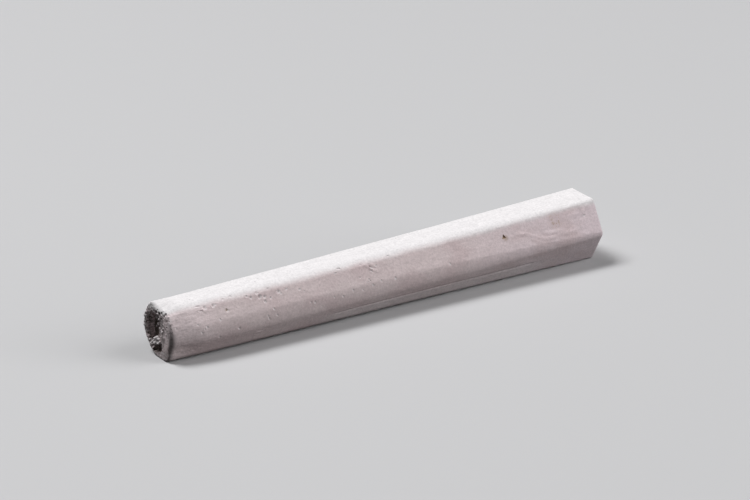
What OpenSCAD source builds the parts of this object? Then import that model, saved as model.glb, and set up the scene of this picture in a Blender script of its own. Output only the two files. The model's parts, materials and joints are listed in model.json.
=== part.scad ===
// A moulded stick of blackboard chalk. It is a tapered hexagonal bar with rounded long
// edges and a square large end. Its small end is worn round, and holds a shallow cup with
// a crumb of chalk stuck in it.
// X runs along the stick to its large end and Z is up. The stick lies on one flat, the
// origin is under its middle, and its front is towards -Y.

/* [Stick] */
// Length from end to end
stick_length = 80; // [50:1:120]
// Width across the flats at the large end
large_flats = 10.3; // [9:0.1:14]
// Width across the flats at the small end
small_flats = 8.9; // [8:0.1:12]

/* [Long edges] */
// Radius of the long edges at the large end
large_edge_r = 0.6; // [0.4:0.1:1.5]
// Radius of the long edges at the small end
small_edge_r = 2; // [1:0.1:3]
// Radius of the front edge at the small end, where fingers have worn it
front_edge_r = 2.6; // [1:0.1:3]
// How late along the stick the edges sharpen
edge_lag = 3; // [1:1:5]
// Fillet round the large end
rim_fillet = 0.3; // [0.1:0.05:0.35]

/* [Worn tip] */
// Length over which the tip's own wear fades out
tip_run = 6; // [4:0.5:12]
// Radius of the front edge at the tip
tip_front_r = 3.8; // [2:0.1:3.9]
// Radius of the lower back edge at the tip
tip_lower_back_r = 3.9; // [2:0.1:3.9]
// Radius of the upper back edge at the tip
tip_upper_back_r = 1.1; // [0.6:0.1:2]
// Radius of the shoulder round the tip
shoulder_r = 0.55; // [0.3:0.05:0.8]
// Slope of the end face from its crest out to the shoulder, in degrees
face_slope = 7; // [2:1:15]
// Distance of the crest from the front
crest_front = 2.2; // [1.2:0.1:2.6]
// Distance of the crest from the back
crest_back = 0.4; // [0.25:0.05:0.6]
// Distance of the crest from the top and from the bottom
crest_edge = 0.3; // [0.2:0.05:0.5]

/* [Cup] */
// Distance of the cup's mouth from the front
rim_front = 3.4; // [3:0.1:4]
// Distance of the cup's mouth from the back
rim_back = 0.85; // [0.7:0.05:1.5]
// Distance of the cup's mouth from the top
rim_top = 0.9; // [0.7:0.05:1.5]
// Distance of the cup's mouth from the bottom
rim_bottom = 1; // [0.7:0.05:1.5]
// Depth of the cup
cup_depth = 1.8; // [1:0.1:3]
// Height of the cup's narrow floor
floor_height = 3.4; // [2:0.1:4]
// Width of the cup's narrow floor
floor_width = 0.7; // [0.4:0.1:1]
// Distance of the floor's middle from the back
floor_back = 1.9; // [1.7:0.1:3]

/* [Crumb and pits] */
// Radius of the crumb's largest grain
crumb_r = 0.65; // [0.4:0.05:0.8]
// Radius of the pocket under the crumb
pocket_r = 0.7; // [0.4:0.05:0.8]
// Distance of the deep pit from the large end
pit_from_end = 18.5; // [5:0.5:40]
// Width of the deep pit
pit_width = 0.85; // [0.4:0.05:1.5]
// Depth of the deep pit
pit_depth = 0.5; // [0.2:0.05:1]
// Distance of the deep pit above the middle of its flat
pit_rise = 0.5; // [-1.5:0.1:1.5]

/* [Hidden] */
chalk_white = [0.93, 0.91, 0.9];
// Steps round each long edge and across each flat
edge_steps = 4;
flat_steps = 4;
ring_points = 6 * (edge_steps + flat_steps);
// Steps down the stick, round the shoulder, into the cup and round the large end
tip_steps = 5;
body_steps = 12;
shoulder_steps = 3;
cup_steps = 5;
fillet_steps = 2;
grain_facets = 32;
// How each grain is turned, so that its poles stay off the cup's wall
grain_turn = [40, 25, 10];
// The hexagon's corners are numbered upwards from the back, and each spans 60 degrees
UPPER_BACK = 1;
FRONT = 3;
LOWER_BACK = 5;
turn = 60;
// The least radius left on an edge that is drawn in
least_r = 0.1;
// How far the mouth's lip lies below the crest
lip_dip = 0.12;
// Where the crumb and the pocket sit: their place in a ring, at or just in front of the
// middle of the bottom flat, and their share of the way down the cup
bottom_place = 4.5 * (edge_steps + flat_steps) + edge_steps / 2;
crumb_seat = [bottom_place, 0.6];
pocket_seat = [bottom_place - 1, 0.1];

function flats(x) = small_flats + (large_flats - small_flats) * x / stick_length;
function lerp(a, b, s) = a + (b - a) * s;

// Radius of long edge k at distance x from the tip
function plain_edge_r(k) = k == FRONT ? front_edge_r : small_edge_r;
function tip_edge_r(k) = k == FRONT ? tip_front_r
    : k == LOWER_BACK ? tip_lower_back_r
    : k == UPPER_BACK ? tip_upper_back_r
    : small_edge_r;
function edge_r(k, x) = let (
        worn = lerp(plain_edge_r(k), large_edge_r, pow(x / stick_length, edge_lag)),
        fade = pow(max(0, 1 - x / tip_run), 2)
    ) worn + (tip_edge_r(k) - plain_edge_r(k)) * fade;

// A point on edge k, at angle a to its corner, of the section at x drawn in by inset
function edge_point(k, a, x, inset) = let (
        r = max(edge_r(k, x) - inset, least_r),
        reach = (flats(x) - 2 * inset - 2 * r) / sqrt(3)
    ) [
        reach * cos(turn * k) + r * cos(turn * k + a),
        reach * sin(turn * k) + r * sin(turn * k + a) + flats(x) / 2
    ];

// The whole section at x, as [y, z] points round the stick
function edge_arc(k, x, inset) =
    [for (i = [0:edge_steps]) edge_point(k, turn * (i / edge_steps - 1 / 2), x, inset)];
function flat_run(a, b) = [for (i = [1:flat_steps - 1]) lerp(a, b, i / flat_steps)];
function section(x, inset = 0) = [
    for (k = [0:5]) each concat(
        edge_arc(k, x, inset),
        flat_run(edge_point(k, turn / 2, x, inset),
            edge_point((k + 1) % 6, -turn / 2, x, inset))
    )
];
function lifted(ring, x) = [for (p = ring) [x, p.x, p.y]];

// The tip's outline, and one like it drawn in by its own distance at each side
tip = section(0);
tip_front = min([for (p = tip) p.x]);
tip_back = max([for (p = tip) p.x]);
function drawn_in(p, front, back, top, bottom) = let (
        forward = (tip_back - p.x) / (tip_back - tip_front)
    ) [
        p.x + front * pow(forward, 2) - back * pow(1 - forward, 2),
        lerp(bottom, small_flats - top, p.y / small_flats)
    ];

// The crest, where the end face stands highest
crest = [for (p = tip) drawn_in(p, crest_front, crest_back, crest_edge, crest_edge)];
crest_insets = [for (j = [0:ring_points - 1]) norm(tip[j] - crest[j])];

// One ring of the shoulder, from the end face at s = 0 to the flats at s = 1
function shoulder_point(j, s) = let (
        r = min(shoulder_r, 0.6 * crest_insets[j]),
        x = crest_insets[j] * tan(face_slope) + r * (1 - cos(90 * s)),
        p = section(x, r * (1 - sin(90 * s)))[j]
    ) [x, p.x, p.y];
function shoulder_ring(s) = [for (j = [0:ring_points - 1]) shoulder_point(j, s)];
shoulder_end = max([for (p = shoulder_ring(1)) p.x]);

// Point j of a ring of the cup, from the lip at s = 0 to the edge of the floor at s = 1
floor_middle = [tip_back - floor_back, (small_flats + rim_bottom - rim_top) / 2];
function cup_point(j, s) = let (
        lip = drawn_in(tip[j], rim_front, rim_back, rim_top, rim_bottom),
        a = atan2(tip[j].y - small_flats / 2, tip[j].x),
        foot = floor_middle + [floor_width / 2 * cos(a), floor_height / 2 * sin(a)],
        q = lerp(lip, foot, s)
    ) [lerp(lip_dip, cup_depth, sin(90 * s)), q.x, q.y];
function cup_ring(s) = [for (j = [0:ring_points - 1]) cup_point(j, s)];

rings = concat(
    [for (i = [cup_steps:-1:0]) cup_ring(i / cup_steps)],
    [lifted(crest, 0)],
    [for (i = [0:shoulder_steps]) shoulder_ring(i / shoulder_steps)],
    [for (i = [1:tip_steps])
        let (x = lerp(shoulder_end, tip_run, i / tip_steps))
        lifted(section(x), x)],
    [for (i = [1:body_steps])
        let (x = lerp(tip_run, stick_length - rim_fillet, i / body_steps))
        lifted(section(x), x)],
    [for (i = [1:fillet_steps])
        let (a = 90 * i / fillet_steps, x = stick_length - rim_fillet * (1 - sin(a)))
        lifted(section(x, rim_fillet * (1 - cos(a))), x)]
);

// The skin through all the rings, closed by the cup's floor and the large end's face
function skin_faces(i, j) = let (
        here = i * ring_points,
        there = here + ring_points,
        next = (j + 1) % ring_points
    ) [[here + j, there + j, there + next], [here + j, there + next, here + next]];
module bar() {
    last = len(rings) - 1;
    polyhedron(
        points = [for (ring = rings) each ring],
        faces = concat(
            [[for (j = [0:ring_points - 1]) j]],
            [for (i = [0:last - 1]) for (j = [0:ring_points - 1]) each skin_faces(i, j)],
            [[for (j = [ring_points - 1:-1:0]) last * ring_points + j]]
        )
    );
}

// One grain of the crumb, placed by its distance from the largest in that grain's radii
module grain(place, size) {
    translate(crumb_r * place)
        rotate(grain_turn)
            sphere(r = crumb_r * size, $fn = grain_facets);
}

// The crumb, sunk a little into the cup's wall
module crumb() {
    translate(cup_point(crumb_seat[0], crumb_seat[1]) - [0.8 * crumb_r, 0, 0]) {
        grain([0, 0, 0], 1);
        grain([-0.1, -1.5, 0.3], 0.7);
        grain([-0.8, 0.3, -0.6], 0.65);
    }
}

module pocket() {
    translate(cup_point(pocket_seat[0], pocket_seat[1]))
        sphere(r = pocket_r, $fn = grain_facets);
}

// The three-sided pit, sunk square into the upper front flat
module deep_pit() {
    x = stick_length - pit_from_end;
    translate([x, 0, flats(x) / 2])
        rotate([turn, 0, 0])
            translate([0, pit_rise, flats(x) / 2 - pit_depth])
                cylinder(d = pit_width * 2 / sqrt(3), h = 2 * pit_depth, $fn = 3);
}

module chalk_stick() {
    color(chalk_white)
        translate([-stick_length / 2, 0, 0]) {
            difference() {
                bar();
                pocket();
                deep_pit();
            }
            crumb();
        }
}

chalk_stick();
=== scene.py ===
import json
import math
import random

import bmesh
import bpy
from bpy.props import FloatProperty, FloatVectorProperty, PointerProperty
import numpy as np
from mathutils import Matrix, Vector
from mathutils.bvhtree import BVHTree

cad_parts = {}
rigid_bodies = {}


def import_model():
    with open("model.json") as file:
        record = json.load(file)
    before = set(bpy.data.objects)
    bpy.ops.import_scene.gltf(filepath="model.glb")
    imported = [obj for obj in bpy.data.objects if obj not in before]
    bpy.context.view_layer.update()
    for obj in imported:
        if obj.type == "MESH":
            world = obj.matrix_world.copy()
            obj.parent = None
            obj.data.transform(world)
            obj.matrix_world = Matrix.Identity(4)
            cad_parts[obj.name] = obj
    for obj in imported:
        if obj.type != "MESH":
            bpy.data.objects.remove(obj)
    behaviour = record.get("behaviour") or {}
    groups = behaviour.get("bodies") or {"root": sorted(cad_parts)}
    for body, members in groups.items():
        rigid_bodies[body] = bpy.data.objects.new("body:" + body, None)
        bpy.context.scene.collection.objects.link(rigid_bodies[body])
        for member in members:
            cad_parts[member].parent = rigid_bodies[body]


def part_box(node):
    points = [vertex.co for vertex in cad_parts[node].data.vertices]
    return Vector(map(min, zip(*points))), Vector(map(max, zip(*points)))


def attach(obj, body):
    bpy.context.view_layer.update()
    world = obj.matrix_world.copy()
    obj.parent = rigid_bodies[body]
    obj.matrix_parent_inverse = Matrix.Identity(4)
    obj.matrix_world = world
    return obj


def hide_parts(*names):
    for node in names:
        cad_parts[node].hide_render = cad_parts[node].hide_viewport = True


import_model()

bl_info = {
    "name": "Moulded Chalk Stick",
    "version": (1, 0, 0),
    "blender": (4, 5, 0),
    "location": "View3D > Sidebar > Chalk",
    "description": "Builds a used hexagonal stick of blackboard chalk and a plain stage for it",
    "category": "Add Mesh",
}

MM = 0.001
NODE = "chalk_stick"
LOW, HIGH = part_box(NODE)
TIP_X = LOW.x
END_X = HIGH.x

# Long edges, numbered upwards from the back as in the solid, 60 degrees apart
EDGES = ("back", "upper_back", "upper_front", "front", "lower_front", "lower_back")
ARC_STEPS = 14
FLAT_STEPS = 16
LOOP_POINTS = len(EDGES) * (ARC_STEPS + FLAT_STEPS)
# Where outlines are drawn near the tip, as distances from it, and how far from the large
# end the last one of the body stands
TIP_PLACES = (0, 1.7 * MM, 2.8 * MM, 4.2 * MM)
LAST_PLACE = 1 * MM
BODY_SPANS = 9
# Length of the faces near the tip and along the body
TIP_STEP = 0.14 * MM
BODY_STEP = 0.26 * MM
SHOULDER_STEPS = 6
FACE_STEPS = 15
CUP_STEPS = 26
NEAR = 1e-6

# The marks on the skin are laid out for these widths across the flats at the small end and
# the large end, and for this distance of both ends from the middle, in millimetres
MARKED_SMALL, MARKED_LARGE, MARKED_HALF = 8.9, 10.3, 40


# ---------------------------------------------------------------- sizes and colours


def distance(name, description, default, low, high):
    """A length, whose default and limits are given in millimetres."""
    return FloatProperty(
        name=name,
        description=description,
        default=default * MM,
        min=low * MM,
        max=high * MM,
        precision=5,
        subtype="DISTANCE",
        unit="LENGTH",
    )


def colour(name, description, default):
    return FloatVectorProperty(
        name=name,
        description=description,
        default=default,
        size=3,
        min=0,
        max=1,
        subtype="COLOR",
    )


def power(name, description, default):
    return FloatProperty(
        name=name,
        description=description,
        default=default,
        min=0,
        max=100,
        subtype="POWER",
        unit="POWER",
    )


class ChalkStickSizes(bpy.types.PropertyGroup):
    length: distance("Length", "Length from end to end", (END_X - TIP_X) / MM, 50, 120)
    large_flats: distance(
        "Large flats", "Width across the flats at the large end", (HIGH.z - LOW.z) / MM, 9, 14
    )
    small_flats: distance("Small flats", "Width across the flats at the small end", 8.9, 8, 12)
    large_edge_r: distance(
        "Sharp edge radius", "Radius of the long edges at the large end", 0.6, 0.4, 1.5
    )
    small_edge_r: distance("Soft edge radius", "Radius of the long edges at the small end", 2, 1, 3)
    front_edge_r: distance(
        "Front edge radius", "Radius of the worn front edge at the small end", 3.3, 1, 3.8
    )
    blunt_edge_r: distance(
        "Blunt edge radius", "Radius of the front edge at the large end", 0.8, 0.4, 2
    )
    edge_lag: FloatProperty(
        name="Edge lag",
        description="How late along the stick the edges sharpen",
        default=3,
        min=1,
        max=5,
    )
    rim_fillet: distance("Rim fillet", "Fillet round the large end", 0.3, 0.1, 0.35)


class ChalkTipSizes(bpy.types.PropertyGroup):
    run: distance("Run", "Length over which the tip's wear fades out", 6, 4, 12)
    front_r: distance("Front radius", "Radius of the front edge", 3.8, 2, 3.9)
    lower_back_r: distance("Lower back radius", "Radius of the lower back edge", 3.9, 2, 3.9)
    upper_back_r: distance("Upper back radius", "Radius of the upper back edge", 1.1, 0.6, 2)
    shoulder_r: distance(
        "Shoulder radius", "Radius of the shoulder at its roundest, along the top", 0.9, 0.4, 1.4
    )
    face_fall: distance(
        "Face fall", "How far the end face falls back from its crest to the front", 0.08, 0, 1
    )
    front_wear: distance("Front wear", "How far the front is worn back at the tip", 0.62, 0, 1.2)
    front_shift: distance(
        "Front shift", "How far the whole front is set back at the tip", 0.4, 0, 1
    )
    top_wear: distance("Top wear", "How far the top is worn down at the tip", 0.8, 0, 1.2)
    crest: distance("Crest", "Distance of the crest in front of the stick's middle", 2.2, 1.5, 3)


class ChalkCupSizes(bpy.types.PropertyGroup):
    rim_front: distance("Front rim", "Width of the rim in front", 3.2, 2, 4)
    rim_back: distance("Back rim", "Width of the rim behind", 0.85, 0.6, 1.5)
    rim_top: distance("Top rim", "Width of the rim above", 1.6, 0.6, 2.2)
    rim_bottom: distance("Bottom rim", "Width of the rim below", 1, 0.6, 1.5)
    lip_dip: distance("Lip dip", "How far the rim slopes into the cup", 0.12, 0, 0.5)
    depth: distance("Depth", "Depth of the cup", 1.3, 1, 3)
    floor_height: distance("Floor height", "Height of the narrow floor", 3.4, 2, 4)
    floor_width: distance("Floor width", "Width of the narrow floor", 0.7, 0.4, 1)
    floor_back: distance(
        "Floor from back", "Distance of the floor's middle from the back", 1.4, 0.8, 3
    )


class ChalkGrainSizes(bpy.types.PropertyGroup):
    swell: distance("Swell", "Height of the slow unevenness of the flats", 0.05, 0, 0.2)
    grain: distance("Grain", "Height of the fine grain of the skin", 0.06, 0, 0.1)
    drag: distance("Drag lines", "Height of the lines drawn along the stick", 0.02, 0, 0.1)
    broken: distance("Broken chalk", "Height of the lumps inside the cup", 0.3, 0, 0.6)
    crumbs: distance("Loose grain", "Height of the grains inside the cup", 0.12, 0, 0.4)


class ChalkColours(bpy.types.PropertyGroup):
    chalk: colour("Chalk", "Colour of clean moulded chalk", (0.85, 0.735, 0.74))
    cooler: colour("Cooler", "Colour of clean chalk at the large end", (0.86, 0.745, 0.78))
    # Pale is painted light on the skin beside the tip
    pale: colour("Pale", "Colour of the skin rubbed pale beside the tip", (0.93, 0.81, 0.825))
    # Powder is dust, and also painted light on top, a painted highlight on what stands out and in
    # the dishes below the pits, and a painted reflection on the strip below the seam
    powder_and_painted_light: colour("Powder", "Colour of the dust on top", (0.89, 0.865, 0.875))
    handled: colour("Handled", "Colour of the skin where it was held", (0.76, 0.625, 0.635))
    # Soiled is dirt and painted shade in the cup, its broken edge and its pocket
    soil_and_shade: colour("Soiled", "Colour of the dirt inside the cup", (0.15, 0.122, 0.103))
    # Grimy is grime and painted shade: it darkens the seam's groove, the end face towards the
    # bottom of its rim, and the cup's wall
    grime_and_shade: colour("Grimy", "Colour of the rim beside the cup", (0.42, 0.37, 0.38))
    # Rubbed is the dim patches of the end face's mottle, and the painted shade of the dark band
    # beside the crest
    rubbed: colour("Rubbed", "Colour of the dark band beside the crest", (0.17, 0.15, 0.15))
    stain: colour("Stain", "Colour of the brown stains", (0.42, 0.3, 0.19))


class ChalkStageSettings(bpy.types.PropertyGroup):
    floor: colour("Floor", "Colour of the floor as the camera sees it", (0.58, 0.58, 0.59))
    floor_bounce: colour(
        "Floor bounce", "Colour of the floor as it lights the stick", (0.08, 0.08, 0.08)
    )
    backdrop: colour("Backdrop", "Colour behind the floor's edge", (0.6, 0.6, 0.61))
    key_power: power("Key light", "Power of the soft light overhead", 9.2)
    fill_power: power("Fill light", "Power of the weak light in front", 2.65)
    front_power: power("Front light", "Power of the broad light high in front", 5.6)
    surround: FloatProperty(
        name="Surround",
        description="Strength of the even light all round",
        default=0.05,
        min=0,
        max=1,
    )
    lens: FloatProperty(
        name="Lens", description="Focal length in millimetres", default=240, min=20, max=400
    )
    view_distance: distance("Distance", "Distance of the camera", 791.5, 300, 3000)


# ---------------------------------------------------------------- helpers


def deselect_everything():
    """Leaves edit mode and selects nothing."""
    if bpy.context.mode != "OBJECT":
        bpy.ops.object.mode_set(mode="OBJECT")
    bpy.ops.object.select_all(action="DESELECT")


def work_on(piece, mode="OBJECT"):
    """Makes this the one piece selected, in that mode."""
    deselect_everything()
    piece.select_set(True)
    bpy.context.view_layer.objects.active = piece
    bpy.ops.object.mode_set(mode=mode)


def new_piece(name):
    """An empty mesh object at the origin, open in edit mode."""
    piece = bpy.data.objects.new(name, bpy.data.meshes.new(name))
    bpy.context.scene.collection.objects.link(piece)
    work_on(piece, "EDIT")
    return piece


def apply_modifier(piece, kind, **settings):
    """Adds a modifier with those settings to the piece and applies it, in object mode."""
    work_on(piece)
    bpy.ops.object.modifier_add(type=kind)
    modifier = piece.modifiers[-1]
    for name, value in settings.items():
        setattr(modifier, name, value)
    bpy.ops.object.modifier_apply(modifier=modifier.name)


def pick(piece, kind, test):
    """Selects only what passes the test, in edit mode."""
    bpy.ops.mesh.select_mode(type=kind)
    bpy.ops.mesh.select_all(action="DESELECT")
    mesh = bmesh.from_edit_mesh(piece.data)
    parts = {"VERT": mesh.verts, "EDGE": mesh.edges, "FACE": mesh.faces}[kind]
    chosen = [part for part in parts if test(part)]
    for part in chosen:
        part.select_set(True)
    mesh.select_flush_mode()
    bmesh.update_edit_mesh(piece.data)
    if not chosen:
        raise RuntimeError(f"{piece.name}: nothing of kind {kind} was found to work on")


def at_x(x):
    """A test for edges and faces that lie across the stick at x."""
    return lambda part: all(abs(v.co.x - x) < NEAR for v in part.verts)


def between(low, high):
    """A test for edges that run along the stick from one loop to the next."""
    return lambda edge: (
        min(v.co.x for v in edge.verts) > low - NEAR
        and max(v.co.x for v in edge.verts) < high + NEAR
        and abs(edge.verts[0].co.x - edge.verts[1].co.x) > 0.05 * MM
    )


def blend(a, b, share):
    return a + (b - a) * share


def ramp(values, low, high):
    """0 at low, 1 at high and smooth between. Where low is the larger, it falls."""
    share = np.clip((values - low) / (high - low), 0, 1)
    return share * share * (3 - 2 * share)


# ---------------------------------------------------------------- the moulded stick


def flats_at(stick, x):
    """Width across the flats at x."""
    return blend(stick.small_flats, stick.large_flats, (x - TIP_X) / stick.length)


def edge_radius(stick, tip, edge, x):
    """Radius of one long edge at x: soft at the small end, sharp at the large end."""
    share = max(0, x - TIP_X) / stick.length
    plain = stick.front_edge_r if edge == "front" else stick.small_edge_r
    sharp = stick.blunt_edge_r if edge == "front" else stick.large_edge_r
    worn = {
        "front": tip.front_r,
        "lower_back": tip.lower_back_r,
        "upper_back": tip.upper_back_r,
    }.get(edge, plain)
    fade = max(0, 1 - (x - TIP_X) / tip.run) ** 2
    return blend(plain, sharp, share**stick.edge_lag) + (worn - plain) * fade


def draw_section(piece, stick, tip, x):
    """Draws the outline at x: a hexagon with its corners rounded and its flats divided."""
    across = flats_at(stick, x)
    reach = across / math.sqrt(3)
    bpy.ops.mesh.select_mode(type="VERT")
    bpy.ops.mesh.select_all(action="DESELECT")
    bpy.ops.mesh.primitive_circle_add(
        vertices=6,
        radius=reach,
        fill_type="NGON",
        location=(x, 0, across / 2),
        rotation=(0, math.pi / 2, 0),
    )
    for number, edge in enumerate(EDGES):
        turn = math.radians(60 * number)
        corner = Vector((x, reach * math.cos(turn), reach * math.sin(turn) + across / 2))
        pick(piece, "VERT", lambda v: (v.co - corner).length < NEAR)
        bpy.ops.mesh.bevel(
            affect="VERTICES",
            offset_type="OFFSET",
            offset=edge_radius(stick, tip, edge, x) * math.tan(math.radians(30)),
            segments=ARC_STEPS,
            profile=0.5,
        )
    pick(piece, "FACE", at_x(x))
    bpy.ops.mesh.delete(type="ONLY_FACE")
    shortest_flat = 0.8 * MM
    pick(piece, "EDGE", lambda e: at_x(x)(e) and e.calc_length() > shortest_flat)
    bpy.ops.mesh.subdivide(number_cuts=FLAT_STEPS - 1)


def bridge_sections(piece, x0, x1, steps):
    """Skins the space between the outlines at x0 and x1, in that many steps."""
    pick(piece, "EDGE", lambda e: at_x(x0)(e) or at_x(x1)(e))
    bpy.ops.mesh.bridge_edge_loops(number_cuts=steps - 1, interpolation="LINEAR")


def close_large_end(piece, stick, last):
    """Caps the large end, rounds its rim and fills the cap with a grid."""
    pick(piece, "EDGE", at_x(END_X))
    bpy.ops.mesh.edge_face_add()
    pick(piece, "EDGE", at_x(END_X))
    bpy.ops.mesh.bevel(offset=stick.rim_fillet, segments=4, profile=0.5, affect="EDGES")
    pick(piece, "EDGE", between(last, END_X - stick.rim_fillet * 0.9))
    bpy.ops.mesh.subdivide(number_cuts=4)
    pick(piece, "FACE", lambda f: len(f.verts) == LOOP_POINTS)
    bpy.ops.mesh.delete(type="ONLY_FACE")
    pick(piece, "EDGE", lambda e: e.is_boundary and at_x(END_X)(e))
    bpy.ops.mesh.fill_grid(span=LOOP_POINTS // 4)


def round_shoulder(piece, radius, height, back, width):
    """Rounds the outline at the tip with shares of the radius, which are least at the back
    and low in front, and most along the top."""
    at_back, low_in_front, in_front, more_towards_front = 0.3, 0.33, 0.9, 0.25
    mesh = piece.data
    weights = mesh.attributes.new("bevel_weight_edge", "FLOAT", "EDGE")
    for edge in mesh.edges:
        ends = [mesh.vertices[i].co for i in edge.vertices]
        if all(abs(co.x - TIP_X) < NEAR for co in ends):
            middle = (ends[0] + ends[1]) / 2
            forward = (back - middle.y) / width
            raised = max(0, middle.z / height * 2 - 1)
            rubbed = ramp(-middle.z, -6.2 * MM, -4.2 * MM) * ramp(middle.z, 0, 2.2 * MM)
            foremost = blend(low_in_front, in_front, rubbed)
            share = blend(at_back, foremost, forward**2)
            share += min(more_towards_front, forward) * raised**3
            weights.data[edge.index].value = min(1, share)
    apply_modifier(
        piece,
        "BEVEL",
        limit_method="WEIGHT",
        width=radius,
        segments=SHOULDER_STEPS,
        profile=0.5,
        use_clamp_overlap=False,
    )


def face_small_end(piece, stick, tip, cup, first):
    """Folds the end face in from the outline to the cup's mouth, with a rounded shoulder."""
    section = [v.co for v in bmesh.from_edit_mesh(piece.data).verts if abs(v.co.x - TIP_X) < NEAR]
    front, back = min(co.y for co in section), max(co.y for co in section)
    width = back - front
    height = stick.small_flats
    mouth_width = width - cup.rim_front - cup.rim_back
    mouth_height = height - cup.rim_top - cup.rim_bottom
    pivot_y = (back - cup.rim_back - back * mouth_width / width) / (1 - mouth_width / width)
    pivot_z = cup.rim_bottom / (1 - mouth_height / height)
    pick(piece, "EDGE", at_x(TIP_X))
    bpy.ops.mesh.extrude_edges_move()
    bpy.ops.transform.resize(
        value=(1, mouth_width / width, mouth_height / height),
        center_override=(TIP_X, pivot_y, pivot_z),
    )
    bpy.ops.transform.translate(value=(cup.lip_dip, 0, 0))
    work_on(piece)
    round_shoulder(piece, tip.shoulder_r, height, back, width)
    work_on(piece, "EDIT")
    pick(
        piece,
        "EDGE",
        lambda e: sum(v.is_boundary for v in e.verts) == 1 and e.verts[0].co.x < first,
    )
    bpy.ops.mesh.subdivide(number_cuts=FACE_STEPS - 1)
    return back


def hollow_cup(piece, cup, back):
    """Draws the mouth in and down, loop by loop, to the narrow floor, and closes it."""
    mesh = bmesh.from_edit_mesh(piece.data)
    mouth = [v.co for v in mesh.verts if v.is_boundary]
    mouth_y = (min(co.y for co in mouth), max(co.y for co in mouth))
    mouth_z = (min(co.z for co in mouth), max(co.z for co in mouth))
    narrow = cup.floor_width / (mouth_y[1] - mouth_y[0])
    short = cup.floor_height / (mouth_z[1] - mouth_z[0])
    middle = Vector((0, sum(mouth_y) / 2, sum(mouth_z) / 2))
    floor_y = back - cup.floor_back
    pivot = Vector((TIP_X, (floor_y - middle.y * narrow) / (1 - narrow), middle.z))

    def fall(share):
        steep, gentle = math.sin(share * math.pi / 2), (1 - math.cos(share * math.pi)) / 2
        return blend(cup.lip_dip, cup.depth, blend(steep, gentle, 0.7))

    pick(piece, "EDGE", lambda e: e.is_boundary)
    was = 0
    for step in range(1, CUP_STEPS + 1):
        share = step / CUP_STEPS
        bpy.ops.mesh.extrude_edges_move()
        bpy.ops.transform.resize(
            value=(
                1,
                blend(1, narrow, share) / blend(1, narrow, was),
                blend(1, short, share) / blend(1, short, was),
            ),
            center_override=pivot,
        )
        bpy.ops.transform.translate(value=(fall(share) - fall(was), 0, 0))
        was = share
    bpy.ops.mesh.extrude_edges_move()
    bpy.ops.mesh.merge(type="CENTER")


def mould_stick(stick, tip, cup):
    """The whole stick with smooth skin: outlines bridged from end to end, then both ends."""
    piece = new_piece("cast_chalk")
    near_tip = [TIP_X + d for d in TIP_PLACES] + [TIP_X + tip.run]
    last = END_X - LAST_PLACE
    body = [blend(near_tip[-1], last, i / BODY_SPANS) for i in range(1, BODY_SPANS + 1)]
    outlines = near_tip + body + [END_X]
    for x in outlines:
        draw_section(piece, stick, tip, x)
    for x0, x1 in zip(outlines, outlines[1:]):
        step = TIP_STEP if x1 < body[0] else BODY_STEP
        at_an_end = x0 == TIP_X or x1 == END_X
        bridge_sections(piece, x0, x1, 1 if at_an_end else max(1, round((x1 - x0) / step)))
    close_large_end(piece, stick, last)
    back = face_small_end(piece, stick, tip, cup, near_tip[1])
    pick(
        piece,
        "EDGE",
        lambda e: abs(max(v.co.x for v in e.verts) - near_tip[1]) < NEAR
        and abs(e.verts[0].co.x - e.verts[1].co.x) > 0.1 * MM,
    )
    bpy.ops.mesh.subdivide(number_cuts=6)
    hollow_cup(piece, cup, back)
    bpy.ops.mesh.select_all(action="SELECT")
    bpy.ops.mesh.normals_make_consistent(inside=False)
    bpy.ops.object.mode_set(mode="OBJECT")
    return piece


# ---------------------------------------------------------------- skin and breaks


def millimetres(piece):
    """The x, y and z of every vertex, and its depth behind the tip, in millimetres."""
    flat = np.empty(len(piece.data.vertices) * 3)
    piece.data.vertices.foreach_get("co", flat)
    co = flat.reshape(-1, 3).T / MM
    return co, co[0] - TIP_X / MM


def weigh(piece, name, weights):
    """Makes a vertex group from one weight for each vertex."""
    group = piece.vertex_groups.new(name=name)
    for number in np.flatnonzero(weights > 0.01):
        group.add([int(number)], float(min(1, weights[number])), "REPLACE")
    return name


def roughen(piece, name, size, height, group="", basis="BLENDER_ORIGINAL", detail=2, stretch=1):
    """Moves the skin in and out by a noise whose lumps have that size, and applies it."""
    noise = bpy.data.textures.new(name, type="CLOUDS")
    noise.noise_scale = 1
    noise.noise_depth = detail
    noise.noise_basis = basis
    bpy.ops.object.empty_add(location=(0.37 * MM, 0.21 * MM, 0.13 * MM))
    grid = bpy.context.object
    grid.scale = (size * stretch, size, size)
    bpy.context.view_layer.update()
    apply_modifier(
        piece,
        "DISPLACE",
        texture=noise,
        texture_coords="OBJECT",
        texture_coords_object=grid,
        strength=height,
        mid_level=0.5,
        vertex_group=group,
    )
    bpy.data.objects.remove(grid)
    bpy.data.textures.remove(noise)


def raise_skin(piece, name, weights, height, direction="NORMAL"):
    """Moves the skin out where it has a weight, or in where the height is negative."""
    group = weigh(piece, name, weights)
    apply_modifier(
        piece,
        "DISPLACE",
        strength=height,
        direction=direction,
        mid_level=0,
        vertex_group=group,
    )


def along_line(co, line, width):
    """Weights that are 1 on a line through points and fade out half its width away."""
    nearest = np.full(len(co), np.inf)
    for a, b in zip(line, line[1:]):
        a, b = np.array(a), np.array(b)
        length = max((b - a) @ (b - a), 1e-6)
        share = np.clip((co - a) @ (b - a) / length, 0, 1)
        away = np.linalg.norm(co - a - share[:, None] * (b - a), axis=1)
        nearest = np.minimum(nearest, away)
    return 1 - ramp(nearest, 0.1 * width, 0.6 * width)


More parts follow.
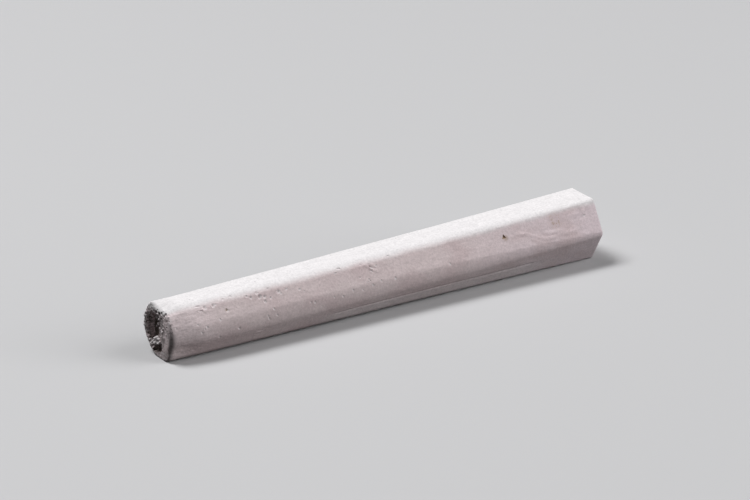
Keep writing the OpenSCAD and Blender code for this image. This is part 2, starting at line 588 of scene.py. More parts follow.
def wear_tip(piece, tip):
    """Takes the front back and the top down at the tip, and lets the end face fall back
    in front of its crest."""
    run = tip.run / MM
    (_, y, z), depth = millimetres(piece)
    worn = ramp(-y, 1, 4.2) * ramp(depth, run, 0)
    worn = worn * blend(0.4, 1, ramp(z, 0, 3)) * blend(1, 0.4, ramp(z, 5.5, 8))
    raise_skin(piece, "worn_front", worn, tip.front_wear, "Y")
    lowered = ramp(z, 6, 9) * ramp(y, 3, 0) * ramp(depth, 3.2, -1)
    raise_skin(piece, "worn_top", lowered, -tip.top_wear, "Z")
    (_, y, z), depth = millimetres(piece)
    shifted = ramp(-y, 0.5, 2.8) * ramp(depth, 2 * run, 0) * blend(0.2, 1, ramp(z, 0, 2.8))
    raise_skin(piece, "shifted_front", shifted, tip.front_shift, "Y")
    fallen = np.clip((-y - 0.08 * (z - 4) - tip.crest / MM) / 1.9, 0, 1) ** 1.4
    raise_skin(piece, "fallen_face", fallen * ramp(depth, 1.9, 0.3), tip.face_fall, "X")


def draw_lines(piece, co, name, lines, width, height):
    """Raises or sinks lines that are given as distances and angles on the skin."""
    for number, points in enumerate(lines):
        line = [(x, *skin_point(x, angle)) for x, angle in points]
        raise_skin(piece, f"{name}_{number}", along_line(co, line, width), height * MM)


def roughen_skin(piece, grain):
    """Draws the seam, creases and blisters, and roughens the skin, the cup and its rim."""
    co, depth = millimetres(piece)
    _, y, z = co
    spread = np.hypot((y - 1.2) / 2.75, (z - 4.5) / 3.55)
    inside = ramp(depth, 2.6, 2.2) * ramp(spread, 1.1, 0.93)
    back_rim = ramp(depth, 0.9, 0.3) * ramp(spread, 0.9, 1.05) * ramp(y, 1.5, 3.2)
    near_tip = blend(0.25, 1, ramp(depth, 14, 4))
    cup_group = weigh(piece, "inside_cup", inside)
    rim_group = weigh(piece, "back_rim", back_rim)
    skin_group = weigh(piece, "skin", 1 - inside)
    drag_group = weigh(piece, "drawn_skin", (1 - inside) * near_tip)

    draw_lines(piece, co.T, "seam", [SEAM], 0.3, -0.09)
    draw_lines(piece, co.T, "crease", CREASES, 0.36, 0.08)
    draw_lines(piece, co.T, "blister", [[spot, spot] for spot in BLISTERS], 0.9, 0.07)

    roughen(piece, "swell", 6 * MM, grain.swell, skin_group)
    roughen(piece, "drag", 0.22 * MM, grain.drag, drag_group, stretch=14)
    roughen(piece, "grain", 0.4 * MM, grain.grain, skin_group)
    roughen(piece, "broken", 0.8 * MM, grain.broken, cup_group)
    roughen(piece, "loose", 0.3 * MM, grain.crumbs, cup_group, "VORONOI_F1", 1)
    roughen(piece, "beaded", 0.5 * MM, 0.35 * MM, rim_group, "VORONOI_F1", 1)


# Lines on the skin, as a distance from the middle in millimetres and an angle from
# straight up towards the front in degrees
SEAM = [(-10, 124), (-5, 122), (8, 121.5), (20, 122), (27, 121.5)]
CREASES = [
    [(24, 55), (26, 59), (27, 65), (28, 71), (29, 75), (30.5, 76), (32.5, 74), (35, 75)],
    [(29, 65), (30.5, 67.5), (33, 68.5)],
    [(26.3, 68), (27.4, 75), (28.2, 79)],
    [(-4.4, 39), (-3.4, 48), (-2.6, 55)],
    [(-3.6, 37), (-2.7, 46)],
    [(-39.2, 43), (-37.5, 42), (-35.4, 43)],
    [(-39, 58), (-37.4, 56.5), (-35.6, 57)],
]
BLISTERS = [(37.2, 44.5), (37.1, 36), (38.4, 38), (35.6, 47), (-35, 36), (-33.6, 46)]


def marked_across(x):
    """Width across the flats at that distance from the middle, in millimetres."""
    return blend(MARKED_SMALL, MARKED_LARGE, (x + MARKED_HALF) / (2 * MARKED_HALF))


def skin_point(x, angle):
    """Where a line in from that angle meets the flats, as y and z in millimetres."""
    across = marked_across(x)
    a = math.radians(angle)
    reach = across / 2 / math.cos(math.radians((angle + 30) % 60 - 30))
    return (-reach * math.sin(a), across / 2 + reach * math.cos(a))


# Bubble pits: distance from the middle, angle and width, in millimetres and degrees
PITS = [
    (-33.7, 40, 0.6), (-32.2, 41, 0.6), (-31.7, 39.5, 0.35),
    (-30.2, 33.5, 0.45), (-28.8, 31.5, 0.5), (-30.1, 55, 0.55),
    (-26.1, 40, 0.4), (-25.5, 44, 0.5), (-24.3, 38.5, 0.55),
    (-24, 46.5, 0.65), (-23.1, 49, 0.5), (-23.2, 57, 0.5),
    (-22.1, 53, 0.4), (-22.1, 36, 0.4), (-20.5, 46, 0.5),
    (-20.1, 50.5, 0.35), (-19, 45, 0.4), (-16.8, 51.5, 0.4),
    (-16, 57.5, 0.25), (-35.5, 69, 0.35), (-34, 78, 0.4),
    (-34.4, 81.5, 0.3), (-35, 87, 0.35), (-31.6, 69, 0.4),
    (-28.4, 96, 0.5), (-31.8, 106, 0.4), (-23, 91.5, 0.4),
    (-23.2, 85.5, 0.3), (-22, 75, 0.45), (-21.5, 88.5, 0.35),
    (-39, 66, 0.3), (-14.6, 82, 0.5), (-15.3, 81, 0.3),
    (-11, 82, 0.35), (-9.4, 85, 0.35), (-7.5, 77.5, 0.4),
    (-5.7, 82.5, 0.3), (-5.8, 59, 0.3), (-4.3, 66, 0.3),
    (-3.8, 77.5, 0.4), (-2.2, 73.5, 0.3), (0.4, 75, 0.45),
    (0.2, 34, 0.35), (-5.1, 36.5, 0.3), (-2.4, 45.5, 0.3),
    (10.7, 75, 0.4), (37.3, 52, 0.35),
]
# Scratches and dents: distance, angle, length, width, depth and the heading of the length,
# in degrees from the stick's axis towards the front
SCRATCHES = [
    (-3.4, 46, 2, 0.4, 0.08, 40), (-3.5, 52, 1, 0.25, 0.06, 40),
    (-9, 34, 0.8, 0.5, 0.08, 10), (-9.8, 40.5, 0.6, 0.4, 0.07, 0),
    (-34.7, 34, 1.1, 0.4, 0.1, 5), (-34.4, 44, 1, 0.35, 0.1, 8),
    (-24.1, 118, 1.5, 0.22, 0.1, 5), (-4.4, 70.5, 0.9, 0.25, 0.1, -10),
]
# Pits out of sight: their number, and the ranges of their distance, angle and width
HIDDEN_PITS = 46
HIDDEN_PLACES = ((-38, 38), (135, 380), (0.25, 0.5))
# Depth of a pit and of the dish on its lower side, as shares of their widths, and how much
# wider than its pit a dish is
PIT_DEPTH, DISH_DEPTH, DISH_WIDTH = 0.2, 0.12, 1.3
# Where the deep three-sided pit is
DEEP_PIT = (21.65, 54)


def stand_on(normal, heading):
    """The turn that lays a lump's height along the normal and its length along the heading."""
    up = normal.normalized()
    along = (heading - heading.dot(up) * up).normalized()
    return Matrix((along, up.cross(along), up)).transposed().to_euler()


def add_lump(at, size, turn, seed, rough=0.25, detail=2):
    """Adds one rough ball, drawn out to its size, to the mesh that is open in edit mode."""
    bpy.ops.mesh.select_all(action="DESELECT")
    bpy.ops.mesh.primitive_ico_sphere_add(
        subdivisions=detail, radius=1, location=at, rotation=turn, scale=size
    )
    bpy.ops.transform.vertex_random(offset=rough * min(size), seed=seed)


def combine(piece, other, how):
    """Cuts the other piece out of this one, or joins it on, and removes it."""
    before = len(piece.data.vertices)
    apply_modifier(piece, "BOOLEAN", operation=how, object=other, solver="MANIFOLD")
    bpy.data.objects.remove(other)
    if len(piece.data.vertices) < before / 2:
        raise RuntimeError(f"{piece.name}: {how} lost the stick")


def skin_hit(piece, x, angle):
    """The point of the skin met when looking in from that angle, and the way out."""
    a = math.radians(angle)
    out = Vector((0, -math.sin(a), math.cos(a)))
    start = Vector((x * MM, 0, marked_across(x) / 2 * MM)) + out * 20 * MM
    found, at, _, _ = piece.ray_cast(start, -out)
    if not found:
        raise RuntimeError(f"nothing to mark at {x} mm, {angle} degrees")
    return at, out


def add_pit(piece, x, angle, width, seed, dish, chance):
    """Adds the ball that sinks one bubble pit, or the shallow dish on its lower side."""
    depth = PIT_DEPTH * width
    if dish:
        x, angle = x + 0.15 * width, angle + 3.5 * width
        width, depth = DISH_WIDTH * width, DISH_DEPTH * width
    at, out = skin_hit(piece, x, angle)
    turn = chance.uniform(0, 3)
    heading = Vector((math.cos(turn), math.sin(turn), 0.3))
    radius = (width**2 / 4 + depth**2) / (2 * depth)
    size = Vector((1, chance.uniform(0.8, 1), 1)) * radius * MM
    at = at + out * (radius - depth) * MM
    add_lump(at, size, stand_on(out, heading), seed, 0.02 if dish else 0.12, 3)


def add_scratch(piece, x, angle, length, width, depth, bearing, seed):
    """Adds the long lump that sinks one scratch or dent."""
    at, out = skin_hit(piece, x, angle)
    down = Vector((1, 0, 0)).cross(out)
    b = math.radians(bearing)
    heading = Vector((math.cos(b), 0, 0)) + down * math.sin(b)
    size = (length / 2 * MM, width / 2 * MM, depth * MM)
    add_lump(at, size, stand_on(out, heading), seed, 0.3)


def cut_pits(piece):
    """Sinks the bubble pits, their dishes, the scratches and the deep pit. Every second pit
    goes into the same cutter, so that neighbours don't meet in one."""
    chance = random.Random(11)
    hidden = [
        tuple(chance.uniform(low, high) for low, high in HIDDEN_PLACES)
        for _ in range(HIDDEN_PITS)
    ]
    cutters = [new_piece(f"pit_cutter_{part}") for part in range(4)]
    for part, cutter in enumerate(cutters):
        work_on(cutter, "EDIT")
        dish = part > 1
        pits = PITS if dish else PITS + hidden
        for number in range(part % 2, len(pits), 2):
            add_pit(piece, *pits[number], number, dish, chance)
        if part == 1:
            for number, scratch in enumerate(SCRATCHES):
                add_scratch(piece, *scratch, 100 + number)
    for cutter in cutters:
        combine(piece, cutter, "DIFFERENCE")
    cut_deep_pit(piece)


def cut_deep_pit(piece):
    """Cuts the three-sided pit that goes deepest into the upper front flat."""
    at, _ = skin_hit(piece, *DEEP_PIT)
    cutter = new_piece("deep_pit_cutter")
    bpy.ops.mesh.primitive_cone_add(
        vertices=3,
        radius1=0.35 * MM,
        radius2=0.7 * MM,
        depth=0.32 * MM,
        location=at,
        rotation=(math.radians(DEEP_PIT[1]), 0, 0),
    )
    bpy.ops.mesh.select_all(action="SELECT")
    bpy.ops.mesh.bevel(offset=0.1 * MM, segments=3, profile=0.6, affect="EDGES")
    bpy.ops.mesh.subdivide(number_cuts=1)
    bpy.ops.transform.vertex_random(offset=0.04 * MM, seed=5)
    combine(piece, cutter, "DIFFERENCE")


# Lumps and hollows of the tip: depth behind its face, then y, z and one radius or three, in
# millimetres. Where there are three, the last leans that far from upright towards the back,
# in degrees
RIM_LUMPS = [
    (0.12, 3.85, 6.5, 0.36, 0.3, 0.34, -15), (0.05, 3.95, 5.95, 0.42, 0.36, 0.4, 0),
    (0.12, 4.05, 5.4, 0.34, 0.26, 0.3, 5), (0.1, 4.1, 4.95, 0.4, 0.32, 0.34, 0),
    (0.1, 4.12, 4.35, 0.42, 0.36, 0.4, 8), (0.15, 4.1, 3.75, 0.34, 0.28, 0.34, 10),
    (0.2, 3.85, 3.35, 0.3, 0.24, 0.28, 15), (0.2, 3.5, 2.6, 0.26, 0.2, 0.26, 30),
    (0.2, 3.1, 2.1, 0.26, 0.24, 0.24, 40), (0.2, 2.6, 1.5, 0.24, 0.22, 0.22, 45),
    (0.2, 2.1, 1.05, 0.24, 0.22, 0.22, 50), (0.2, 1.4, 0.75, 0.22, 0.22, 0.19, 60),
    (0.25, 3.7, 7, 0.3, 0.28, 0.38, -25), (0.3, 3.45, 7.5, 0.34, 0.3, 0.36, -30),
    (0.35, 3.15, 7.9, 0.36, 0.32, 0.36, -35), (0.4, 2.75, 8.15, 0.36, 0.32, 0.34, -35),
]
TIP_GRAINS = [
    (0.15, -0.2, 7.0, 0.2), (0.3, -0.9, 8.1, 0.22), (0.15, -1.65, 7.2, 0.22),
    (0.3, -2.3, 7.6, 0.2), (0.15, -1.2, 6.85, 0.18), (0.1, 0.5, 7.3, 0.18),
    (0.1, -0.6, 7.35, 0.16), (0.15, -1.9, 6.4, 0.16), (0.1, -1.45, 5.9, 0.15),
    (0.15, 1.9, 7.9, 0.18), (0.15, 1.0, 7.85, 0.2), (0.12, -2.4, 5.2, 0.14),
    (0.1, -1.9, 4.6, 0.14), (0.15, 2.7, 7.6, 0.16), (0.1, -1.1, 5.3, 0.15),
]
BITES = [
    (0, 1.1, 7.35, 0.32), (0, 0, 7.5, 0.3), (0.05, -0.7, 7.8, 0.28), (0.1, -1.8, 7.9, 0.28),
    (0, -0.5, 6.8, 0.3), (0, -1.35, 7.55, 0.26), (0, 2.45, 6.9, 0.3), (0, 2, 6.2, 0.25),
    (0.05, -2.1, 6.9, 0.24), (0, -1.7, 5.4, 0.2), (0, -2.2, 5.9, 0.2), (0.1, -2.8, 7.1, 0.2),
    (0, 1.8, 7.3, 0.22), (0, -1, 6.1, 0.25), (0.05, 0.5, 8, 0.18), (0, -2.2, 3.6, 0.14),
    (0, -1.6, 2.6, 0.14), (0, -1.7, 4.1, 0.12), (0.1, -2.9, 5.1, 0.15),
]
POCKET = [
    (0.35, 1.75, 1, 0.45), (0.35, 1.25, 0.9, 0.45), (0.4, 0.75, 1.15, 0.5),
    (0.4, 0.35, 1.6, 0.45), (0.6, 1, 1.35, 0.6), (0.4, 0.25, 1.2, 0.45),
    (0.3, -0.1, 1.6, 0.42), (0.3, 0.05, 2.05, 0.38),
]
CRUMB = [
    (1, 1.8, 2.1, 0.6), (0.85, 1.2, 2.35, 0.42), (1.2, 2.3, 2.2, 0.55), (1.3, 1.3, 2.1, 0.5),
    (0.3, 2.7, 1.75, 0.32), (0.4, 2.35, 2.15, 0.26), (0.4, 2.05, 2.6, 0.28),
    (0.45, 1.55, 2.85, 0.3), (0.35, 1.6, 2.05, 0.3), (0.35, 2.1, 1.8, 0.24),
    (0.5, 0.95, 2.75, 0.24), (0.45, 0.5, 2.5, 0.22), (0.45, 1.05, 2.1, 0.2),
]
CRUMB_HOLES = [(0.2, 1.3, 2.5, 0.18), (0.15, 1.95, 2.25, 0.13), (0.1, 2.4, 1.85, 0.1)]
# Grains on the wall of the cup: y, z and radius, in millimetres
CUP_GRAINS = [
    (1.94, 4.92, 0.3), (1.21, 4.43, 0.25), (-0.5, 4.5, 0.25), (0.05, 4.56, 0.22),
    (2.6, 5.8, 0.25), (0.8, 6.2, 0.22), (1.6, 6.7, 0.22), (2.9, 4.2, 0.22), (0.3, 3.4, 0.2),
]


def fuse_balls(name, balls, seed):
    """Rough balls fused into one closed shell, modelled in millimetres and brought to size."""
    piece = new_piece(name)
    chance = random.Random(seed)
    for number, (depth, y, z, *radii) in enumerate(balls):
        if len(radii) > 1:
            size, turn = radii[:3], (-math.radians(radii[3]), 0, 0)
        else:
            size = [radii[0] * chance.uniform(0.75, 1.25) for _ in range(3)]
            turn = [chance.uniform(0, 3) for _ in range(3)]
        add_lump((depth, y, z), size, turn, seed + number, 0.2, 3)
    apply_modifier(piece, "REMESH", mode="VOXEL", voxel_size=0.07)
    work_on(piece, "EDIT")
    bpy.ops.mesh.select_all(action="SELECT")
    bpy.ops.transform.resize(value=(MM, MM, MM), center_override=(0, 0, 0))
    bpy.ops.transform.translate(value=(TIP_X, 0, 0))
    bpy.ops.object.mode_set(mode="OBJECT")
    return piece


def cup_wall(piece, y, z):
    """How far behind the tip the cup's wall lies at y and z, in millimetres."""
    start = Vector((TIP_X - 5 * MM, y * MM, z * MM))
    found, at, _, _ = piece.ray_cast(start, Vector((1, 0, 0)))
    if not found:
        raise RuntimeError(f"no wall behind the mouth at {y}, {z}")
    return (at.x - TIP_X) / MM


def break_tip(piece):
    """Crumbles the rim: lumps along the back, bites and grains at the upper front."""
    bites = fuse_balls("bite_cutter", BITES, 20)
    roughen(bites, "bitten", 0.2 * MM, 0.1 * MM)
    combine(piece, bites, "DIFFERENCE")
    grains = [(cup_wall(piece, y, z), y, z, r) for y, z, r in CUP_GRAINS]
    lumps = fuse_balls("rim_lumps", RIM_LUMPS + TIP_GRAINS + grains, 60)
    roughen(lumps, "knobbly", 0.25 * MM, 0.08 * MM)
    combine(piece, lumps, "UNION")


def add_crumb(piece):
    """Hollows the pocket and sets the crumb above it, against the wall of the cup."""
    pocket = fuse_balls("pocket_cutter", POCKET, 100)
    roughen(pocket, "hollowed", 0.3 * MM, 0.15 * MM)
    combine(piece, pocket, "DIFFERENCE")
    crumb = fuse_balls("crumb", CRUMB, 120)
    holes = fuse_balls("crumb_holes", CRUMB_HOLES, 140)
    roughen(crumb, "crumbly", 0.25 * MM, 0.12 * MM)
    combine(crumb, holes, "DIFFERENCE")
    combine(piece, crumb, "UNION")


def drop_specks(piece):
    """Keeps only what hangs together with the large end."""
    work_on(piece, "EDIT")
    pick(piece, "VERT", lambda v: v.co.x > END_X - 0.02 * MM)
    bpy.ops.mesh.select_linked()
    bpy.ops.mesh.select_all(action="INVERT")
    bpy.ops.mesh.delete(type="VERT")
    bpy.ops.object.mode_set(mode="OBJECT")


def mark_height(piece, uncut, full=0.2 * MM):
    """Stores how far each point stands above or below the skin as it was before the cuts,
    as a share of the full height."""
    height = piece.data.attributes.new("height", "FLOAT", "POINT")
    values = np.zeros(len(piece.data.vertices), np.float32)
    for vertex in piece.data.vertices:
        at, normal, _, away = uncut.find_nearest(vertex.co)
        side = math.copysign(1, (vertex.co - at).dot(normal))
        values[vertex.index] = side * min(1, away / full)
    height.data.foreach_set("value", values)


class CHALK_OT_stick(bpy.types.Operator):
    """Models the moulded stick with its worn tip, cup, crumb and pits, and finishes it"""

    bl_idname = "chalk.add_stick"
    bl_label = "Add Chalk Stick"

    def execute(self, context):
        scene = context.scene
        piece = mould_stick(scene.chalk_stick, scene.chalk_tip, scene.chalk_cup)
        wear_tip(piece, scene.chalk_tip)
        roughen_skin(piece, scene.chalk_grain)
        uncut = BVHTree.FromObject(piece, context.evaluated_depsgraph_get())
        cut_pits(piece)
        break_tip(piece)
        add_crumb(piece)
        drop_specks(piece)
        mark_height(piece, uncut)
        work_on(piece)
        bpy.ops.object.shade_smooth_by_angle(angle=math.radians(35))
        piece.data.materials.clear()
        piece.data.materials.append(chalk_material(scene.chalk_colours))
        piece.data.polygons.foreach_set("material_index", [0] * len(piece.data.polygons))
        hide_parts(NODE)
        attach(piece, "root")
        return {"FINISHED"}


# ---------------------------------------------------------------- the chalk's finish


class Value:
    """A number, place or colour that a material's nodes work out at every point. Sums can
    be done with it as with plain numbers."""

    def __init__(self, socket):
        self.socket = socket
        self.nodes = socket.id_data.nodes

    def figure(self, operation, *values):
        inputs = dict(enumerate(values))
        return worked_out(self.nodes, "ShaderNodeMath", "Value", inputs, operation=operation)

    def __add__(self, other):
        return self.figure("ADD", self, other)

    def __sub__(self, other):
        return self.figure("SUBTRACT", self, other)

    def __rsub__(self, other):
        return self.figure("SUBTRACT", other, self)

    def __mul__(self, other):
        return self.figure("MULTIPLY", self, other)

    def most(self, other):
        return self.figure("MAXIMUM", self, other)

    def line(self, slope, start):
        """The start, plus the slope times this value."""
        return self.figure("MULTIPLY_ADD", self, slope, start)

    def rise(self, low, high):
        """0 at low, 1 at high and smooth between. Where low is the larger, it falls."""
        inputs = {"Value": self, "From Min": low, "From Max": high}
        kind, smooth = "ShaderNodeMapRange", "SMOOTHSTEP"
        return worked_out(self.nodes, kind, "Result", inputs, interpolation_type=smooth)

    def band(self, start, full, fading, end):
        """0 up to the start, 1 from full to fading, and 0 again from the end on."""
        return self.rise(start, full) * self.rise(end, fading)


def wire(value, socket):
    """Links a value to a socket, or sets the socket to a plain number or colour."""
    if isinstance(value, Value):
        socket.id_data.links.new(value.socket, socket)
    else:
        socket.default_value = value


def new_node(nodes, kind, inputs, **settings):
    """A new node with those settings, whose inputs are values, plain numbers or colours."""
    node = nodes.new(kind)
    for name, setting in settings.items():
        setattr(node, name, setting)
    for name, value in inputs.items():
        wire(value, node.inputs[name])
    return node


def worked_out(nodes, kind, output, inputs=None, **settings):
    """What one output of a new node works out."""
    return Value(new_node(nodes, kind, inputs or {}, **settings).outputs[output])


def mapped(place, location, scale):
    """The place, scaled and then moved."""
    inputs = {"Vector": place, "Location": location, "Scale": scale}
    return worked_out(place.nodes, "ShaderNodeMapping", "Vector", inputs)


def noise(place, size, detail=2, stretch=1, shift=0):
    """Noise whose lumps have that size in millimetres, drawn out along the stick."""
    size = size * MM
    lumps = mapped(place, [shift] * 3, (1 / size / stretch, 1 / size, 1 / size))
    inputs = {"Vector": lumps, "Scale": 1, "Detail": detail}
    return worked_out(place.nodes, "ShaderNodeTexNoise", "Fac", inputs)


def reach(place, centre, radii):
    """Distance from a centre, where 1 is the edge of an ellipsoid with those radii. The
    centre is a depth behind the tip, y and z, and all are in millimetres."""
    depth, y, z = centre
    location = [-c / r for c, r in zip((TIP_X / MM + depth, y, z), radii)]
    away = mapped(place, location, [1 / (r * MM) for r in radii])
    kind = "ShaderNodeVectorMath"
    return worked_out(place.nodes, kind, "Value", {0: away}, operation="LENGTH")


def spot(place, x, angle, radius):
    """A soft round spot on the skin, placed as the pits are."""
    centre = (x - TIP_X / MM, *skin_point(x, angle))
    return 1 - reach(place, centre, [radius] * 3).rise(0.4, 1.6)


def mix(share, a, b, how="MIX"):
    """Colour a, which turns into colour b as the share grows."""
    a, b = (paint if isinstance(paint, Value) else (*paint, 1) for paint in (a, b))
    inputs = {"Factor": share, "A": a, "B": b}
    nodes = (b if isinstance(b, Value) else share).nodes
    settings = {"data_type": "RGBA", "blend_type": how}
    return worked_out(nodes, "ShaderNodeMix", "Result", inputs, **settings)


def shaded(skin, shade):
    """A colour, made lighter or darker by a grey shade."""
    inputs = {"Red": shade, "Green": shade, "Blue": shade}
    grey = worked_out(skin.nodes, "ShaderNodeCombineColor", "Color", inputs)
    return mix(1, skin, grey, "MULTIPLY")


class Skin:
    """What the material goes by at every point: where it is, in millimetres, how far it
    stands out or is sunk, noises, and shares from 0 to 1 for parts of the stick."""

    def __init__(self, nodes):
        place = self.place = worked_out(nodes, "ShaderNodeTexCoord", "Object")
        split = new_node(nodes, "ShaderNodeSeparateXYZ", {"Vector": place})
        x, y, z = self.x, self.y, self.z = [Value(s) * (1 / MM) for s in split.outputs]
        depth = self.depth = x - TIP_X / MM
        attribute = {"attribute_name": "height"}
        self.height = worked_out(nodes, "ShaderNodeAttribute", "Fac", **attribute)
        self.sunk = self.height * -1

        self.clouds = noise(place, 4.5, 3, 1.6)
        self.speckle = noise(place, 0.35, 3)
        self.dust = noise(place, 0.12, 1, shift=7)
        self.drawn = noise(place, 0.2, 2, 22, shift=3)
        self.smears = noise(place, 0.9, 2, 2.2, shift=11)
        self.mottled = noise(place, 0.32, 3, shift=5)

        # The flat on top, which is lower at the worn tip, and what stands out of the skin
        taper = (HIGH.z - LOW.z - MARKED_SMALL * MM) / (END_X - TIP_X)
        lowered = depth.rise(4, 0) * y.rise(-2.8, -1) * 1.1
        below_top = x.line(taper, marked_across(0)) - z - lowered
        self.up = self.clouds.line(0.8, below_top).rise(1.5, 0.5)
        self.raised = self.height.rise(0.3, 0.9) * 0.8

        # The end face, the skin beside it, and the ragged distance from the cup's mouth
        self.face = depth.rise(0.9, 0.3)
        self.near_tip = depth.rise(12, 3) * (1 - self.up)
        mouth = reach(place, (0, 1.2, 4.3), (3.2, 2.6, 3.45))
        self.from_mouth = mouth + (self.speckle - 0.5) * 0.5


def clean_chalk(at, colours):
    """Moulded chalk, handled in patches and darker low down towards the small end, paler beside the
    tip as painted light, powdered on top with painted light, and with a painted highlight on what
    stands out and in the dishes below the pits."""
    # Darker low down towards the small end
    low = at.z.rise(5, 1.5) * at.x.rise(25, -5)
    handled = at.clouds.rise(0.4, 0.68) * 0.75 + low * 0.3
    clean = mix(at.x.rise(5, 38), colours.chalk, colours.cooler)
    skin = mix(handled, clean, colours.handled)
    # Paler beside the tip: painted light
    painted_light_near_tip = at.depth.rise(11, 3) * at.z.rise(2, 4.8)
    skin = mix(painted_light_near_tip, skin, colours.pale)
    # A painted highlight in the dishes below the pits
    dish_highlight = at.sunk.band(0.06, 0.2, 0.3, 0.5)
    # Powder and painted light on top, and a painted highlight on what stands out
    return mix(at.up.most(at.raised).most(dish_highlight * 0.6), skin, colours.powder_and_painted_light)


def mark_seam(skin, at, colours):
    """The groove of the mould's seam, darkened as painted shade, and the paler strip below it,
    which is a painted reflection.
    """
    from_seam = at.x.line(-0.0062, at.z)
    in_front = (at.y * -1).rise(1, 2)
    seamed = at.x.band(-16, -6, 24, 34) * in_front
    # The paler strip below the seam is a painted reflection
    strip = from_seam.rise(2.3, 2.15) * seamed * 0.35
    skin = mix(strip, skin, colours.powder_and_painted_light)
    # The seam's groove is darkened as painted shade
    groove = from_seam.band(2.15, 2.3, 2.35, 2.5) * (seamed * 0.3)
    return mix(groove, skin, colours.grime_and_shade)


def grain_shade(at):
    """Fine grain, dust, smears and drawn lines, as lighter and darker marks, and painted shade in
    the pits.
    """
    shade = at.speckle.line(0.42, 0.79) * at.dust.line(0.2, 0.9) * at.smears.line(0.14, 0.93)
    lines = (at.drawn - 0.5) * at.near_tip.line(0.5, 0.08)
    # Pits are darkened a little: painted shade
    return shade * (lines + 1) * (1 - at.sunk.rise(0.1, 0.8) * 0.12)


def mottle_and_shade_face(skin, at, colours):
    """Marks on the end face: darker towards the bottom of its rim, mottled all over, and painted
    shade in the dark band between the face and the front."""
    # Darker towards the bottom of the end face's rim
    low_rim = at.z.rise(2.2, 0.9).line(0.55, 0.15) * (1 - at.raised.most(at.up))
    skin = mix(at.face * low_rim, skin, colours.grime_and_shade)
    face = at.face * (1 - at.up)
    light = face * at.mottled.rise(0.52, 0.66)
    dark = face * at.mottled.rise(0.48, 0.34)
    skin = mix(light * 0.5, skin, colours.powder_and_painted_light)
    skin = mix(dark * 0.6, skin, colours.rubbed)
    # The dark band between the crest and the front is painted shade
    ring = reach(at.place, (0, 0, 3.5), (3, 3.2, 2.7))
    band = (ring + (at.smears - 0.5) * 0.35).band(0.66, 0.92, 1, 1.5)
    band *= at.depth.rise(1.5, 0.2) * at.y.rise(-0.8, -1.7)
    band *= at.z.rise(6, 4.9) * at.z.rise(0.8, 2.8).line(0.22, 0.33)
    return mix(band, skin, colours.rubbed)


def soil_and_shade_cup(skin, at, colours):
    """Dirt and painted shade in the cup, darkest at its back wall, flaked off towards its top, and
    in its broken edge and pocket.
    """
    # The cup's hollow is darkened by dirt and painted shade, most at its back wall
    upper = at.z.rise(5.8, 7.2)
    inside = at.from_mouth.rise(1.12, 0.9) * (1 - at.height.rise(0.02, 0.35) * 0.95)
    inside *= upper.line(-0.35, 1)
    behind = reach(at.place, (0.3, 3, 4.4), (2.4, 1.3, 2.4)) + (at.smears - 0.5)
    clear = 1 - behind.rise(1.25, 0.75)
    flecks = (at.speckle.rise(0.5, 0.68) * 0.48).most(clear.most(upper) * 0.8)
    skin = mix(inside, skin, mix(flecks, colours.soil_and_shade, colours.grime_and_shade))
    flaked = at.z.rise(4.6, 6.4) * at.speckle.rise(0.5, 0.6)
    skin = mix(inside * flaked * 0.75, skin, colours.powder_and_painted_light)
    # The sunk broken edge and the pocket below the crumb are darkened too: dirt and painted shade
    broken = at.face * at.from_mouth.rise(1.6, 1.1) * at.sunk.rise(0.1, 0.6)
    pocket = at.depth.rise(2.6, 1.8) * at.z.rise(2.6, 2)
    pocket *= at.from_mouth.rise(1.5, 1.2) * at.sunk.rise(0.3, 1.2)
    return mix(broken.most(pocket) * 0.75, skin, colours.soil_and_shade)


def stain(skin, at, colours):
    """Brown stains: in the deep pit and below it, in a small pit, and a faint patch."""
    for share in (
        spot(at.place, 21.7, 54, 0.75) * at.sunk.rise(0, 0.3) * 0.8,
        spot(at.place, 21.95, 56.5, 0.4) * 0.5,
        spot(at.place, -30.1, 55, 0.22) * 0.6,
        spot(at.place, 31.8, 49, 1.1) * at.speckle.rise(0.5, 0.6) * 0.5,
    ):
        skin = mix(share, skin, colours.stain)
    return skin


def chalk_material(colours):
    """The one material of the stick, with its dirt and painted shade, painted light, stains and
    fine grain.
    """
    material = bpy.data.materials.new("moulded_chalk")
    material.use_nodes = True
    nodes = material.node_tree.nodes
    shader = nodes["Principled BSDF"]
    at = Skin(nodes)
    skin = mark_seam(clean_chalk(at, colours), at, colours)
    skin = shaded(skin, grain_shade(at))
    for overlay in (mottle_and_shade_face, soil_and_shade_cup, stain):
        skin = overlay(skin, at, colours)
    relief = at.speckle + at.dust * 0.5 + at.drawn * 0.6 * at.near_tip
    bump = {"Height": relief, "Strength": 0.8, "Distance": 0.03 * MM}
    wire(skin, shader.inputs["Base Color"])
    wire(at.clouds.line(0.16, 0.82), shader.inputs["Roughness"])
    wire(worked_out(nodes, "ShaderNodeBump", "Normal", bump), shader.inputs["Normal"])
    shader.inputs["Diffuse Roughness"].default_value = 0.3
    shader.inputs["Specular IOR Level"].default_value = 0.25
    return material


# ---------------------------------------------------------------- the stage


class CHALK_OT_stage(bpy.types.Operator):
    """Adds the floor, the lamps, the surround and the camera"""

    bl_idname = "chalk.add_stage"
    bl_label = "Add Stage"

    def execute(self, context):
        scene = context.scene
        stage = scene.chalk_stage
        deselect_everything()
        bpy.ops.mesh.primitive_plane_add(size=8, location=(0, 0, LOW.z))
        floor = context.object
        floor.name = "stage_floor"
        floor.data.materials.append(floor_material(stage))
        add_lamp("key_lamp", stage.key_power, 0.4, (-0.3, 0.34, 0.94))
        add_lamp("front_lamp", stage.front_power, 0.8, (0.66, -0.57, 0.66))
        add_lamp("fill_lamp", stage.fill_power, 0.4, (0.85, -0.75, 0.25))
        scene.world = surround(stage)
        add_camera(scene, stage)
        scene.view_settings.view_transform = "Standard"
        return {"FINISHED"}


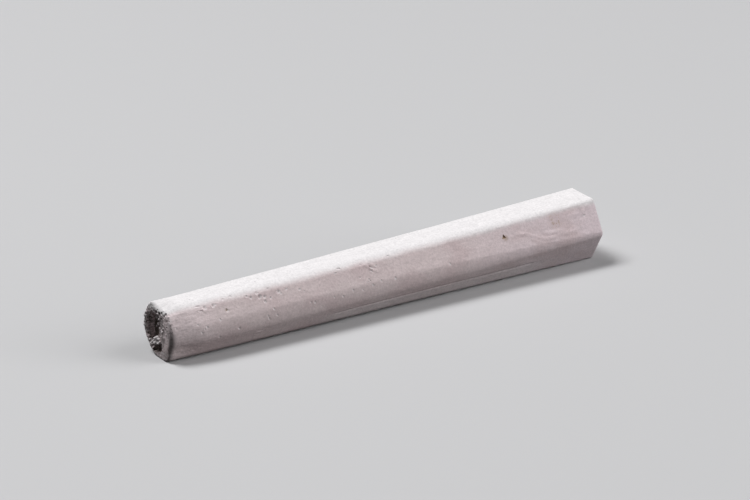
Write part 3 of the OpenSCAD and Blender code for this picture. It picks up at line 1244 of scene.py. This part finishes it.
def add_lamp(name, power, size, place):
    """A square soft lamp that points at the middle of the stick."""
    bpy.ops.object.light_add(type="AREA", location=place)
    lamp = bpy.context.object
    lamp.name = name
    lamp.data.energy = power
    lamp.data.shape = "SQUARE"
    lamp.data.size = size
    aim = Vector((0, 0, HIGH.z / 2)) - Vector(place)
    lamp.rotation_euler = aim.to_track_quat("-Z", "Y").to_euler()


def floor_material(stage):
    """A plain floor, which lights the stick as if it were darker than it looks."""
    material = bpy.data.materials.new("stage_floor")
    material.use_nodes = True
    nodes = material.node_tree.nodes
    shader = nodes["Principled BSDF"]
    shader.inputs["Roughness"].default_value = 0.8
    shader.inputs["Specular IOR Level"].default_value = 0.2
    seen = worked_out(nodes, "ShaderNodeLightPath", "Is Camera Ray")
    wire(mix(seen, stage.floor_bounce, stage.floor), shader.inputs["Base Color"])
    return material


def surround(stage):
    """Weak, even light all round, and a plain backdrop where the floor ends."""
    world = bpy.data.worlds.new("stage_surround")
    world.use_nodes = True
    nodes = world.node_tree.nodes
    even = nodes["Background"]
    even.inputs["Color"].default_value = (1, 1, 1, 1)
    even.inputs["Strength"].default_value = stage.surround
    backdrop = {"Color": (*stage.backdrop, 1)}
    both = {
        0: worked_out(nodes, "ShaderNodeLightPath", "Is Camera Ray"),
        1: Value(even.outputs["Background"]),
        2: worked_out(nodes, "ShaderNodeBackground", "Background", backdrop),
    }
    mixed = worked_out(nodes, "ShaderNodeMixShader", "Shader", both)
    wire(mixed, nodes["World Output"].inputs["Surface"])
    return world


def add_camera(scene, stage):
    """The camera looks along the stick from its small end, a little from above."""
    turn, rise = math.radians(33.4), math.radians(21.93)
    aim = Vector((1.6, 2.8, 7.9)) * MM
    towards = Vector(
        (math.cos(rise) * math.sin(turn), math.cos(rise) * math.cos(turn), -math.sin(rise))
    )
    bpy.ops.object.camera_add(location=aim - stage.view_distance * towards)
    camera = bpy.context.object
    camera.name = "stage_camera"
    camera.rotation_euler = towards.to_track_quat("-Z", "Y").to_euler()
    camera.data.lens = stage.lens
    camera.data.sensor_width = 36
    camera.data.clip_start = 0.01
    camera.data.clip_end = 20
    scene.camera = camera


# ---------------------------------------------------------------- panel and start


class CHALK_PT_panel(bpy.types.Panel):
    """Shows every size, colour and lamp, and the two buttons that build"""

    bl_label = "Chalk"
    bl_idname = "CHALK_PT_panel"
    bl_space_type = "VIEW_3D"
    bl_region_type = "UI"
    bl_category = "Chalk"

    def draw(self, context):
        layout = self.layout
        for group in GROUPS:
            box = layout.box()
            box.label(text=group.replace("_", " ").capitalize())
            settings = getattr(context.scene, group)
            for name in settings.__annotations__:
                box.prop(settings, name)
        layout.operator(CHALK_OT_stick.bl_idname)
        layout.operator(CHALK_OT_stage.bl_idname)


GROUPS = {
    "chalk_stick": ChalkStickSizes,
    "chalk_tip": ChalkTipSizes,
    "chalk_cup": ChalkCupSizes,
    "chalk_grain": ChalkGrainSizes,
    "chalk_colours": ChalkColours,
    "chalk_stage": ChalkStageSettings,
}
CLASSES = (*GROUPS.values(), CHALK_OT_stick, CHALK_OT_stage, CHALK_PT_panel)


def register():
    for each in CLASSES:
        bpy.utils.register_class(each)
    for name, group in GROUPS.items():
        setattr(bpy.types.Scene, name, PointerProperty(type=group))


def unregister():
    for name in GROUPS:
        delattr(bpy.types.Scene, name)
    for each in reversed(CLASSES):
        bpy.utils.unregister_class(each)


def main():
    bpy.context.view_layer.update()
    register()
    bpy.ops.chalk.add_stick()
    bpy.ops.chalk.add_stage()


if __name__ == "__main__":
    main()
